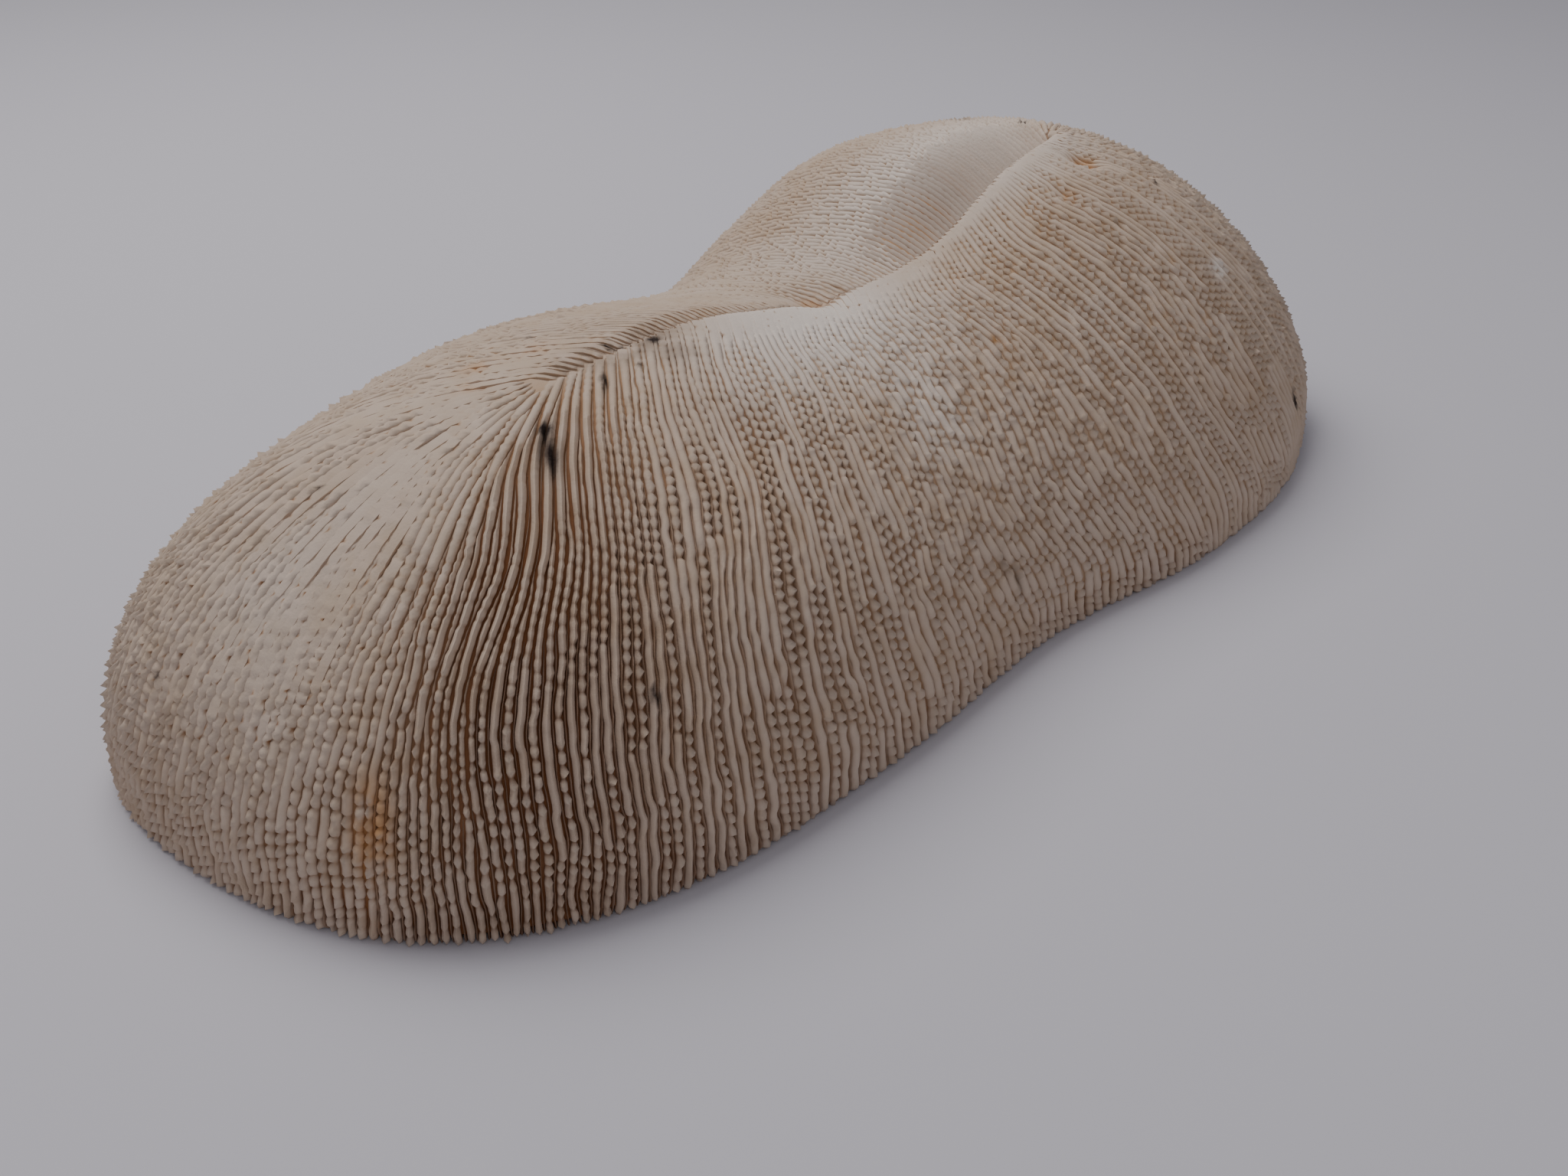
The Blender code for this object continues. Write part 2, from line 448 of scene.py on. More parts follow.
MARKS = (
    Mark(Stain.GRIME, -0.0740, -0.0080, 0.0170, 0.0060, 5, 0.80),
    Mark(Stain.GRIME, -0.0900, -0.0050, 0.0100, 0.0060, 0, 0.50),
    Mark(Stain.GRIME, -0.0700, -0.0160, 0.0060, 0.0080, 0, 0.55),
    Mark(Stain.SOOT, -0.0788, -0.0030, 0.0013, 0.0013, 0, 1.0),
    Mark(Stain.SOOT, -0.0750, -0.0060, 0.0015, 0.0015, 0, 1.0),
    Mark(Stain.SOOT, -0.0697, -0.0100, 0.0022, 0.0019, 0, 1.0),
    Mark(Stain.SOOT, -0.0820, -0.0168, 0.0013, 0.0011, 0, 0.9),
    Mark(Stain.SOOT, -0.0930, -0.0158, 0.0035, 0.0006, 50, 0.9),
    Mark(Stain.SOOT, -0.0950, -0.0166, 0.0035, 0.0006, 50, 0.9),
    Mark(Stain.GRIME, -0.1215, -0.0250, 0.0085, 0.0028, 50, 1.0),
    Mark(Stain.SOOT, -0.1180, -0.0205, 0.0026, 0.0020, 50, 1.0),
    Mark(Stain.SOOT, -0.1230, -0.0272, 0.0048, 0.0016, 50, 0.9),
    Mark(Stain.RUST, -0.0900, 0.0110, 0.0060, 0.0040, 0, 0.30),
    Mark(Stain.RUST, -0.1050, 0.0150, 0.0060, 0.0040, 0, 0.30),
    Mark(Stain.RUST, -0.1160, 0.0070, 0.0050, 0.0030, 0, 0.30),
    Mark(Stain.SOOT, -0.0772, 0.0331, 0.0013, 0.0010, 0, 0.7),
    Mark(Stain.SOOT, -0.0850, 0.0188, 0.0014, 0.0009, 0, 0.7),
    Mark(Stain.SOOT, -0.1087, -0.0044, 0.0008, 0.0008, 0, 0.8),
    Mark(Stain.SOOT, -0.1576, 0.0115, 0.0008, 0.0008, 0, 0.9),
    Mark(Stain.SOOT, -0.1976, 0.0264, 0.0009, 0.0009, 0, 0.9),
    Mark(Stain.GRIME, 0.1527, 0.0460, 0.0090, 0.0045, 60, 0.70),
    Mark(Stain.SOOT, 0.1535, 0.0199, 0.0018, 0.0014, 0, 1.0),
    Mark(Stain.SOOT, 0.1413, -0.0966, 0.0018, 0.0014, 20, 1.0),
    Mark(Stain.SOOT, -0.1383, -0.0705, 0.0014, 0.0012, 0, 0.9),
    Mark(Stain.SOOT, 0.1433, -0.0380, 0.0010, 0.0010, 0, 0.9),
    Mark(Stain.SOOT, 0.1010, -0.0461, 0.0009, 0.0009, 0, 0.8),
    Mark(Stain.GRIME, -0.0158, -0.0882, 0.0014, 0.0020, 0, 0.80),
    Mark(Stain.GRIME, -0.0195, -0.0855, 0.0014, 0.0014, 0, 0.80),
    Mark(Stain.RUST, 0.0267, -0.0515, 0.0014, 0.0022, 0, 0.90),
    Mark(Stain.RUST, -0.1929, -0.0394, 0.0040, 0.0050, 0, 0.75),
    Mark(Stain.RUST, 0.1280, -0.0186, 0.0050, 0.0040, 0, 0.75),
    Mark(Stain.RUST, 0.0980, -0.0303, 0.0040, 0.0030, 0, 0.35),
    Mark(Stain.RUST, -0.0020, -0.0075, 0.0060, 0.0050, 0, 0.35),
)


@dataclass(frozen=True)
class Relief:
    """Heights of septa and grooves above and below the form."""

    rise: float = 0.0008
    shallow: float = 0.0009
    deep: float = 0.0019
    cleft: float = 0.0026
    furrow_zone: float = 0.035
    swell_zone: float = 0.30
    comb_start: float = 0.86
    comb_end: float = 0.96

    def comb(self, r: np.ndarray) -> np.ndarray:
        """1 where the septa end in the comb at the rim, 0 above it."""
        return smooth((r - self.comb_start) / (self.comb_end - self.comb_start))

    def crest_level(self, t: np.ndarray, r: np.ndarray) -> np.ndarray:
        """Height of the septa's tops above the form."""
        swell = smooth((r - self.furrow_zone) / self.swell_zone)
        return self.rise * swell * (1 - 1.25 * smooth((r - 0.84) / 0.12))

    def spike_room(self, r: np.ndarray) -> np.ndarray:
        """How far points may stand above the septa's tops."""
        return 0.0011 * smooth((0.99 - r) / 0.12) * smooth(r / 0.25)

    def depth(self, t: np.ndarray, r: np.ndarray) -> np.ndarray:
        """Depth of the grooves below the septa's tops."""
        openness = np.maximum(OPENNESS.at(t, r), 0.6 * FUSION.at(t, r))
        openness = np.maximum(openness, 0.95 * self.comb(r))
        cleft = CLEFT.at(t, r)
        near_crest = np.maximum(0.30 + 0.70 * smooth(r / 0.15), cleft)
        return (self.shallow + self.deep * openness) * near_crest + self.cleft * cleft

    def floor(self, t: np.ndarray, r: np.ndarray) -> np.ndarray:
        """Height of the grooves' floor relative to the form, which is negative."""
        return self.crest_level(t, r) - self.depth(t, r)


def activate(piece: bpy.types.Object) -> None:
    """Makes a piece the only selected and active object."""
    bpy.ops.object.select_all(action="DESELECT")
    piece.select_set(True)
    bpy.context.view_layer.objects.active = piece


def coordinates(mesh: bpy.types.Mesh) -> np.ndarray:
    """A mesh's vertex positions as an array of rows."""
    flat = np.empty(len(mesh.vertices) * 3)
    mesh.vertices.foreach_get("co", flat)
    return flat.reshape(-1, 3)


def place(mesh: bpy.types.Mesh, points: np.ndarray) -> None:
    """Moves a mesh's vertices to points."""
    mesh.vertices.foreach_set("co", points.astype(np.float32).ravel())
    mesh.update()


def paint(mesh: bpy.types.Mesh, name: str, values: np.ndarray) -> None:
    """Stores one number a vertex as a named attribute."""
    attribute = mesh.attributes.new(name, "FLOAT", "POINT")
    attribute.data.foreach_set("value", values.astype(np.float32))


def close_up(piece: bpy.types.Object, distance: float = 1e-5) -> None:
    """Merges a piece's coincident vertices and turns its faces outwards."""
    activate(piece)
    bpy.ops.object.mode_set(mode="EDIT")
    bpy.ops.mesh.select_all(action="SELECT")
    if distance:
        bpy.ops.mesh.remove_doubles(threshold=distance)
    bpy.ops.mesh.normals_make_consistent(inside=False)
    bpy.ops.object.mode_set(mode="OBJECT")


@dataclass(frozen=True)
class Sections:
    """The rings of many bars in one flat list: each ring's place, axes and size."""

    points: np.ndarray
    up: np.ndarray
    side: np.ndarray
    along: np.ndarray
    top: np.ndarray
    shoulder: np.ndarray
    base: np.ndarray
    left: np.ndarray
    right: np.ndarray
    waist: np.ndarray
    push: np.ndarray
    t: np.ndarray
    r: np.ndarray
    top_shade: np.ndarray
    side_shade: np.ndarray
    pore_left: np.ndarray
    pore_right: np.ndarray


@dataclass(frozen=True)
class Lines:
    """Lines down every flank, close together: two for each septum, itself and the groove beside it."""

    r: np.ndarray
    t: np.ndarray
    points: np.ndarray
    up: np.ndarray
    along: np.ndarray
    gap: np.ndarray
    travelled: np.ndarray

    def read(self, values: np.ndarray, row: np.ndarray, at: np.ndarray) -> np.ndarray:
        """Values of the lines row at places at, which count the lines' points from 0."""
        i = np.clip(np.floor(at).astype(int), 0, len(self.r) - 2)
        u = at - i
        if values.ndim > 2:
            u = u[:, None]
        return values[row, i] * (1 - u) + values[row, i + 1] * u


@dataclass(frozen=True)
class Rings:
    """Where the rings of many bars lie: line, place on it, count from the crest and aligned count."""

    line: np.ndarray
    at: np.ndarray
    count: np.ndarray
    aligned: np.ndarray
    order: np.ndarray
    lengths: list[int]


@dataclass
class Coral:
    """The whole skeleton: builds its wall, septa and lamellae and dresses them."""

    form: Form = field(default_factory=Form)
    relief: Relief = field(default_factory=Relief)
    septa: int = 336
    tooth_pitch: float = 0.0030
    rings_a_tooth: int = 4
    first_gap: float = 0.00125
    full_gap: float = 0.0008
    widest_half: float = 0.00175
    pore_period: int = 8

    def step(self) -> float:
        """Distance between two septa at the rim, in units of t."""
        return TURN / self.septa

    def lean(self, t: np.ndarray, r: np.ndarray) -> np.ndarray:
        """How far a septum has moved round, in units of t, at place r of its way down."""
        wave = along_open(np.array([-0.12, -0.08, 0.02, -0.05, -0.01, 0.04]), r)
        ridged = np.exp(-(((np.mod(t + TURN / 2, TURN) - TURN / 2 - 1.35) / 0.75) ** 2))
        swept = np.exp(-(((np.mod(t, TURN) - 4.6) / 2.0) ** 4))
        sweep = 0.20 * smooth((r - 0.62) / 0.38) - 0.20
        wander = 0.030 * Unevenness(11, 40, 5).at(t, r) + 0.010 * Unevenness(12, 112, 12).at(t, r)
        wander += 0.006 * Unevenness(13, 224, 30).at(t, r)
        return wave * ridged + sweep * swept * smooth(r / 0.2) + wander * smooth(r / 0.25)

    def lines(self) -> Lines:
        """Lays the lines of the septa and of the grooves between them on the form."""
        number = np.arange(2 * self.septa) / 2
        r = np.linspace(0.004, 1.0, 240)
        base = (number * self.step())[:, None] + np.zeros(len(r))
        place_r = np.zeros_like(base) + r
        t = base + self.lean(base, place_r)
        points = self.form.upper(t, place_r)
        up = self.rise(t, place_r)
        along = unit(np.gradient(points, axis=1))
        across = np.roll(points, -2, axis=0) - np.roll(points, 2, axis=0)
        across -= along * np.sum(across * along, axis=-1, keepdims=True)
        gap = np.linalg.norm(across, axis=-1) / 2
        steps = np.linalg.norm(np.diff(points, axis=1), axis=2)
        travelled = np.concatenate([np.zeros((len(number), 1)), np.cumsum(steps, axis=1)], axis=1)
        return Lines(r, t, points, up, along, gap, travelled)

    def grown(self, gap: np.ndarray) -> np.ndarray:
        """How far a septum has grown where the gap beside it has this width."""
        return smooth((gap - self.first_gap) / self.full_gap)

    @staticmethod
    def family(number: np.ndarray) -> np.ndarray:
        """Steps between a septum and the older ones beside it: 8 is the oldest family, 1 the youngest."""
        return np.where(number % 8 == 0, 8, np.where(number % 4 == 0, 4, np.where(number % 2 == 0, 2, 1)))

    def rings(
        self, lines: Lines, rows: np.ndarray, starts: np.ndarray, pitch: float, staggered: bool
    ) -> Rings:
        """Finds where the rings of bars lie.

        Args:
            lines: The lines that the bars follow.
            rows: Which of the lines carry a bar.
            starts: The point of its line where each bar begins.
            pitch: Distance between rings.
            staggered: Whether neighbouring bars are out of step, as teeth are.

        Returns:
            The rings, bar after bar.
        """
        place_r = np.zeros((len(rows), len(lines.r))) + lines.r
        base = (rows / 2 * self.step())[:, None] + np.zeros_like(place_r)
        broad = Unevenness(21, 40, 4).at(base, place_r)
        fine = Unevenness(22, 112, 10).at(base, place_r)
        wander = 0.9 * broad + 0.30 * fine
        phase = lines.travelled[rows] / pitch + wander * self.rings_a_tooth * staggered
        stagger = np.cumsum(np.random.default_rng(23).choice([1, 2, 2, 3], 2 * self.septa)) * staggered
        ends = np.random.default_rng(24).uniform(0.2, 1.6, 2 * self.septa)
        index = np.arange(len(lines.r))
        at, counts, aligned, orders, lengths = [], [], [], [], []
        for k, row in enumerate(rows):
            shift = stagger[row // 2]
            last = phase[k, -1] - 0.7
            count = np.arange(np.ceil(phase[k, starts[k]]), np.floor(last) + 1)
            if len(count) < 4:
                count = np.floor(last) + np.arange(-3, 1)
            place_at = np.append(np.interp(count, phase[k], index), index[-1] - ends[row] * (row % 2 == 0))
            count = np.append(count, count[-1] + 1)
            at.append(place_at)
            counts.append(count + shift)
            aligned.append(count)
            orders.append(np.arange(len(count)))
            lengths.append(len(count))
        line = np.repeat(rows, lengths)
        join = np.concatenate
        whole = [join(values).astype(int) for values in (counts, aligned)]
        return Rings(line, join(at), *whole, join(orders), lengths)

    def begin(self, lines: Lines, rows: np.ndarray) -> np.ndarray:
        """The point of each septum's line where it first stands out."""
        family = self.family(rows // 2)[:, None]
        slot = np.where(CLEFT.at(lines.t[rows], np.zeros_like(lines.t[rows]) + lines.r) > 0.4, 0.0006, 0)
        out = self.grown((lines.gap[rows] + slot) * family) > 0.02
        return np.where(out.any(axis=1), out.argmax(axis=1), len(lines.r) - 14)

    def main_sections(self, lines: Lines, rings: Rings) -> Sections:
        """Works out every ring of the main septa.

        Args:
            lines: The lines down the flanks.
            rings: The septa's rings.

        Returns:
            The rings in one flat list, septum after septum.
        """
        row = rings.line
        number = row // 2
        t = lines.read(lines.t, row, rings.at)
        r = np.interp(rings.at, np.arange(len(lines.r)), lines.r)
        gap = lines.read(lines.gap, row, rings.at)
        cleft = CLEFT.at(t, r)
        up = unit(lines.read(lines.up, row, rings.at))
        along = unit(lines.read(lines.along, row, rings.at))

        family = self.family(number)
        own = self.grown((gap + 0.0006 * cleft) * family)
        room = gap.copy()
        for younger in (1, 2, 4):
            room += np.where(family > younger, gap * younger * (1 - self.grown(gap * younger)), 0)

        tooth = np.floor_divide(rings.count, self.rings_a_tooth) % 256
        quarter = np.mod(rings.count, self.rings_a_tooth)
        draw = np.random.default_rng(31).uniform(0, 1, (4, self.septa, 256))[:, number, tooth]
        peak = np.choose(quarter, [0.0, 0.66, 1.0, 0.72])
        bead = np.choose(quarter, [0.0, 0.80, 1.0, 0.86])
        comb = self.relief.comb(r)
        fused = FUSION.at(t, r) * (1 - comb)
        toothed = TEETH.at(t, r) * (1 - 0.35 * comb)
        neck = toothed * (0.55 + 0.45 * smooth(3 * draw[0]))
        depth = self.relief.depth(t, r)
        level = self.relief.crest_level(t, r)
        uneven = Unevenness(41, 336, 24).at(t, r)

        height = np.clip(0.93 + 0.16 * (draw[1] - 0.5) * toothed + 0.05 * uneven, 0, 1.02)
        height *= 1 - 0.62 * neck * (1 - peak) * (1 - 0.70 * fused)
        height *= (0.20 + 0.80 * own) * np.where(own > 0.02, 1, 0.2)
        sharp = np.choose(quarter, [-0.05, 0.15, 1.0, 0.30])
        spike = np.maximum(SPIKES.at(t, r), comb) * self.relief.spike_room(r) * sharp * (0.5 + draw[2]) * own
        top = level - depth * (1 - height) + spike
        half = np.minimum(BREADTH.at(t, r) * room, self.widest_half) * (1 + 0.10 * uneven) * own
        half *= (1 - 0.42 * neck * (1 - bead)) * (1 - 0.16 * comb)
        plate = smooth(1.6 * fused)
        half += (0.56 * room * own - half) * plate
        sideways = (draw[3] - 0.5) * 0.22 * gap * toothed * bead * (1 - fused)

        pores = self.pores(number, rings.aligned, t, r, fused)
        last = rings.order == np.repeat(np.array(rings.lengths) - 1, rings.lengths)
        end = np.where(last, 0.55, 1.0)
        body = np.maximum(top - spike - (level - depth), 0.0001)
        shoulder = level - depth + body * (0.60 + 0.36 * plate)
        return Sections(
            points=lines.read(lines.points, row, rings.at),
            up=up,
            side=unit(np.cross(along, up)),
            along=along,
            top=np.where(last, level - 0.55 * depth, top),
            shoulder=np.where(last, level - 0.80 * depth, shoulder),
            base=level - depth - 0.0005,
            left=half * end * (1 - 0.50 * pores[0]) + sideways,
            right=half * end * (1 - 0.50 * pores[1]) - sideways,
            waist=0.90 + 0.10 * plate,
            push=(0.0003 * toothed * peak + 0.55 * spike) * np.where(last, 0, 1),
            t=t,
            r=r,
            # Painted shade: the necks between teeth and the septa's sides take part of the groove colour.
            top_shade=0.55 * neck * (1 - peak) * (1 - fused),
            side_shade=0.22 + 0.40 * neck * (1 - bead) - 0.14 * plate,
            pore_left=pores[0],
            pore_right=pores[1],
        )

    def pores(
        self, number: np.ndarray, aligned: np.ndarray, t: np.ndarray, r: np.ndarray, fused: np.ndarray
    ) -> tuple[np.ndarray, np.ndarray]:
        """Where the fused septa leave pores between them, on the left and the right of each ring."""
        chance = np.random.default_rng(51).uniform(0, 1, (self.septa, 512))
        shift = np.random.default_rng(52).integers(0, 2, self.septa)
        strength = Quality(
            0.40,
            (
                Patch(-0.05, 0.58, 0.70, 0.26, 1.0),
                Patch(0.75, 0.45, 0.3, 0.2, 0.3),
                Patch(14.3, 0.3, 0.8, 0.3, 0.5),
            ),
        ).at(t, r)
        sides = []
        for offset in (-1, 0):
            channel = np.mod(number + offset, self.septa)
            phase = (channel // 2) * (self.pore_period // 2) + shift[channel]
            turn = np.mod(aligned + phase, self.pore_period)
            likely = chance[channel, (aligned + phase) // self.pore_period] < 0.35 + 0.60 * strength
            size = 0.55 + 0.45 * chance[channel, (aligned + phase) // self.pore_period + 256]
            here = (turn == 0) & (channel % 2 == 0) & likely & (fused > 0.35)
            sides.append(np.where(here, size * (0.5 + 0.5 * strength), 0.0))
        return sides[0], sides[1]

    def bar(self, rings: int, sides: int) -> bpy.types.Object:
        """Models one straight closed bar, one unit long between rings."""
        bpy.ops.object.select_all(action="DESELECT")
        bpy.ops.mesh.primitive_cylinder_add(vertices=sides, radius=0.5, depth=rings - 1, end_fill_type="NGON")
        blank = bpy.context.object
        if rings > 2:
            bpy.ops.object.mode_set(mode="EDIT")
            bpy.ops.mesh.select_mode(type="EDGE")
            bpy.ops.mesh.select_all(action="DESELECT")
            bpy.ops.object.mode_set(mode="OBJECT")
            heights = coordinates(blank.data)[:, 2]
            for edge in blank.data.edges:
                a, b = edge.vertices
                edge.select = bool(abs(heights[a] - heights[b]) > 0.5)
            bpy.ops.object.mode_set(mode="EDIT")
            bpy.ops.mesh.subdivide(number_cuts=rings - 2)
            bpy.ops.object.mode_set(mode="OBJECT")
        return blank

    def row_of_bars(self, rings: int, sides: int, count: int) -> bpy.types.Object:
        """Copies a bar into a row along X, two units apart."""
        row = self.bar(rings, sides)
        activate(row)
        array = row.modifiers.new("Row", "ARRAY")
        array.count = count
        array.use_relative_offset = False
        array.use_constant_offset = True
        array.constant_offset_displace = (2.0, 0.0, 0.0)
        bpy.ops.object.modifier_apply(modifier=array.name)
        return row

    def wrap(self, name: str, lengths: Sequence[int], sections: Sections, sides: int) -> bpy.types.Object:
        """Bends rows of bars onto their rings and joins them into one piece.

        Args:
            name: Name of the piece.
            lengths: Number of rings of each bar, in the sections' order.
            sections: The rings of all the bars.
            sides: Sides of a bar, 5 for a ridge and 3 for a blade.

        Returns:
            The finished, undressed piece.
        """
        starts = np.concatenate([[0], np.cumsum(lengths)[:-1]])
        corners, hollow, pore = self.corners(sections, sides)
        rows = []
        for rings in sorted(set(lengths)):
            members = np.nonzero(np.array(lengths) == rings)[0]
            row = self.row_of_bars(rings, sides, len(members))
            flat = coordinates(row.data)
            member = np.round(flat[:, 0] / 2).astype(int)
            ring = np.round(flat[:, 2] + (rings - 1) / 2).astype(int)
            angle = np.mod(np.arctan2(flat[:, 0] - 2 * member, flat[:, 1]), 2 * np.pi)
            corner = np.mod(np.round(angle / (2 * np.pi / sides)).astype(int), sides)
            at = starts[members[member]] + ring
            place(row.data, corners[at, corner])
            where = (sections.t[at], sections.r[at])
            self.colour(row.data, corners[at, corner], *where, hollow[at, corner], pore[at, corner])
            rows.append(row)
        piece = rows[0]
        activate(piece)
        for row in rows[1:]:
            row.select_set(True)
        if len(rows) > 1:
            bpy.ops.object.join()
        close_up(piece, distance=0)
        piece.name = name
        piece.data.name = name
        return piece

    def corners(self, s: Sections, sides: int) -> tuple[np.ndarray, np.ndarray, np.ndarray]:
        """Corner points of every ring, with each corner's share of groove colour, which is the grooves' own
        brown and painted shade, and how porous it is.
        """
        zero = 0 * s.left
        if sides == 5:
            across = [(s.right - s.left) / 2, s.right, s.right * s.waist, -s.left * s.waist, -s.left]
            height = [s.top, s.shoulder, s.base, s.base, s.shoulder]
            hollow = [s.top_shade, s.side_shade, 1 + zero, 1 + zero, s.side_shade]
            pore = [zero, s.pore_right, s.pore_right, s.pore_left, s.pore_left]
        else:
            across = [zero, s.right, -s.left]
            height = [s.top, s.base, s.base]
            hollow = [s.top_shade, 1 + zero, 1 + zero]
            pore = [zero] * 3
        points = np.stack(
            [s.points + s.side * a[:, None] + s.up * h[:, None] for a, h in zip(across, height)],
            axis=1,
        )
        points[:, 0] += s.along * s.push[:, None]
        points[..., 2] = np.maximum(points[..., 2], 0.0)
        return points, np.stack(hollow, axis=1), np.stack(pore, axis=1)

    def colour(
        self,
        mesh: bpy.types.Mesh,
        points: np.ndarray,
        t: np.ndarray,
        r: np.ndarray,
        hollow: np.ndarray,
        pore: np.ndarray,
    ) -> None:
        """Stores what the finish needs to know at each vertex."""
        # Hollow is each vertex's share of groove colour: the grooves' own brown and painted shade in grooves,
        # necks, rim band and underside. Pores add to it and to Umber, so the holes are painted dark brown as
        # painted shade.
        paint(mesh, "Hollow", np.clip(hollow + pore, 0, 1))
        # The comb's gaps at the rim are painted browner: painted shade under the teeth.
        paint(mesh, "Umber", np.clip(UMBER.at(t, r) + 0.5 * self.relief.comb(r) + 0.7 * pore, 0, 1))
        paint(mesh, "Bleach", BLEACH.at(t, r))
        for stain in Stain:
            strength = np.zeros(len(points))
            for mark in MARKS:
                if mark.stain is stain:
                    strength = np.maximum(strength, mark.at(points))
            paint(mesh, stain.value, strength)

    def main_septa(self, lines: Lines) -> list[bpy.types.Object]:
        """Builds the main septa in three pieces, by where they stand on the rim."""
        parts = {
            "septa_near": np.concatenate([np.arange(self.septa - 40, self.septa), np.arange(0, 50)]),
            "septa_far": np.arange(50, 176),
            "septa_back": np.arange(176, self.septa - 40),
        }
        pieces = []
        for name, numbers in parts.items():
            rows = 2 * numbers
            pitch = self.tooth_pitch / self.rings_a_tooth
            rings = self.rings(lines, rows, self.begin(lines, rows), pitch, True)
            pieces.append(self.wrap(name, rings.lengths, self.main_sections(lines, rings), 5))
        return pieces

    def lamellae(self, lines: Lines) -> bpy.types.Object:
        """Builds the thin lamellae in the grooves between the main septa."""
        rows = 2 * np.arange(self.septa) + 1
        place_r = np.zeros_like(lines.t[rows]) + lines.r
        openness = np.maximum(OPENNESS.at(lines.t[rows], place_r), self.relief.comb(place_r))
        clear = (openness > 0.62) & (lines.gap[rows] > 0.0021)
        starts = np.where(clear.any(axis=1), clear.argmax(axis=1), len(lines.r) - 14)
        rings = self.rings(lines, rows, starts, 0.0020, False)
        row = rings.line
        t = lines.read(lines.t, row, rings.at)
        r = np.interp(rings.at, np.arange(len(lines.r)), lines.r)
        up = unit(lines.read(lines.up, row, rings.at))
        along = unit(lines.read(lines.along, row, rings.at))
        rough = np.random.default_rng(61).uniform(0.7, 1.1, len(r))
        depth = self.relief.depth(t, r)
        level = self.relief.crest_level(t, r)
        start = smooth(rings.order / 4)
        last = rings.order == np.repeat(np.array(rings.lengths) - 1, rings.lengths)
        half = 0.00032 + 0.00008 * Unevenness(62, 336, 20).at(t, r)
        zero = np.zeros(len(r))
        sections = Sections(
            points=lines.read(lines.points, row, rings.at),
            up=up,
            side=unit(np.cross(along, up)),
            along=along,
            top=level - depth + depth * np.where(last, 0.1, 0.60 * start * rough + 0.05),
            shoulder=zero,
            base=level - depth - 0.0005,
            left=half,
            right=half,
            waist=zero,
            push=zero,
            t=t,
            r=r,
            # Painted shade: the lamellae's tops, down in the grooves, take part of the groove colour.
            top_shade=0.45 + zero,
            side_shade=zero,
            pore_left=zero,
            pore_right=zero,
        )
        return self.wrap("lamellae", rings.lengths, sections, 3)

    def wall(self) -> bpy.types.Object:
        """Builds the shell that carries the septa: grooves' floor, rim and hollow underside."""
        columns = 2 * self.septa
        rows: list[tuple[str, float, float]] = [("upper", r, 0.0) for r in self.wall_rows()]
        rims = ((0.0026, 0.0026), (0.0040, 0.0010), (0.0058, 0.0006), (0.0075, 0.0006))
        rows += [("rim", inset, lift) for inset, lift in rims]
        rows += [("under", r, 0.0) for r in np.linspace(1, 0, 24)[1:]]
        bpy.ops.object.select_all(action="DESELECT")
        bpy.ops.mesh.primitive_grid_add(x_subdivisions=columns, y_subdivisions=len(rows) - 1, size=2)
        piece = bpy.context.object
        flat = coordinates(piece.data)
        column = np.round((flat[:, 0] + 1) / 2 * columns).astype(int) % columns
        row = np.round((flat[:, 1] + 1) / 2 * (len(rows) - 1)).astype(int)
        t = column * TURN / columns
        points = np.zeros((len(flat), 3))
        # The rim band's rows keep full groove colour: painted shade under the comb of teeth.
        hollow = np.ones(len(flat))
        rib = np.where(column % 2 == 0, 1.0, 0.0)
        grain = np.random.default_rng(71).uniform(0.5, 1.2, (columns, len(rows)))[column, row]
        narrow = np.random.default_rng(72).choice([0.25, 0.45, 1.0], columns)
        at_r = np.ones(len(flat))
        for number, (kind, place_r, lift) in enumerate(rows):
            on = row == number
            here = t[on]
            r = np.full(on.sum(), float(place_r))
            if kind == "upper":
                floor = self.relief.floor(here, r)
                if place_r > 0:
                    share = np.where(rib[on] > 0, 0.3, narrow[column[on]])
                    floor += (1 - share) * self.relief.cleft * CLEFT.at(here, r)
                else:
                    floor = np.minimum(floor, self.relief.floor(TURN - here, r))
                points[on] = self.form.upper(here, r) + self.rise(here, r) * floor[:, None]
                # Painted shade: the deeper the groove floor lies, the more groove colour it takes, over the
                # grooves' own brown.
                hollow[on] = 0.25 + 0.75 * smooth(-floor / 0.0016)
                at_r[on] = r
            elif kind == "rim":
                points[on] = self.form.inset_rim(here, r)
                points[on, 2] += lift
            else:
                swell = smooth(r / 0.25) * smooth((1 - r) / 0.12)
                rise = 0.0009 * rib[on] * grain[on] * swell
                down = -self.form.normal(self.form.under, here, r)
                points[on] = self.form.under(here, r) + down * rise[:, None]
                # Painted shade: the hollow underside takes mostly groove colour, lighter on the costae.
                hollow[on] = 0.75 - 0.6 * rib[on] * swell
                at_r[on] = 0.99
        points[:, 2] = np.maximum(points[:, 2], 0.0)
        place(piece.data, points)
        self.colour(piece.data, points, t, at_r, hollow, 0 * hollow)
        close_up(piece)
        piece.name = "wall"
        piece.data.name = piece.name
        return piece

    def rise(self, t: np.ndarray, r: np.ndarray) -> np.ndarray:
        """Which way up is: the form's normal, but straight up at the furrow, where both flanks meet."""
        share = smooth(r / 0.05)[..., None]
        return unit(self.form.normal(self.form.plain, t, r) * share + np.array([0.0, 0.0, 1.0]) * (1 - share))

    @staticmethod
    def wall_rows() -> np.ndarray:
        """Rows of the wall's upper face, closer together at the furrow."""
        furrow = np.linspace(0, 0.09, 10)
        return np.concatenate([furrow, np.linspace(0.115, 0.965, 36)])

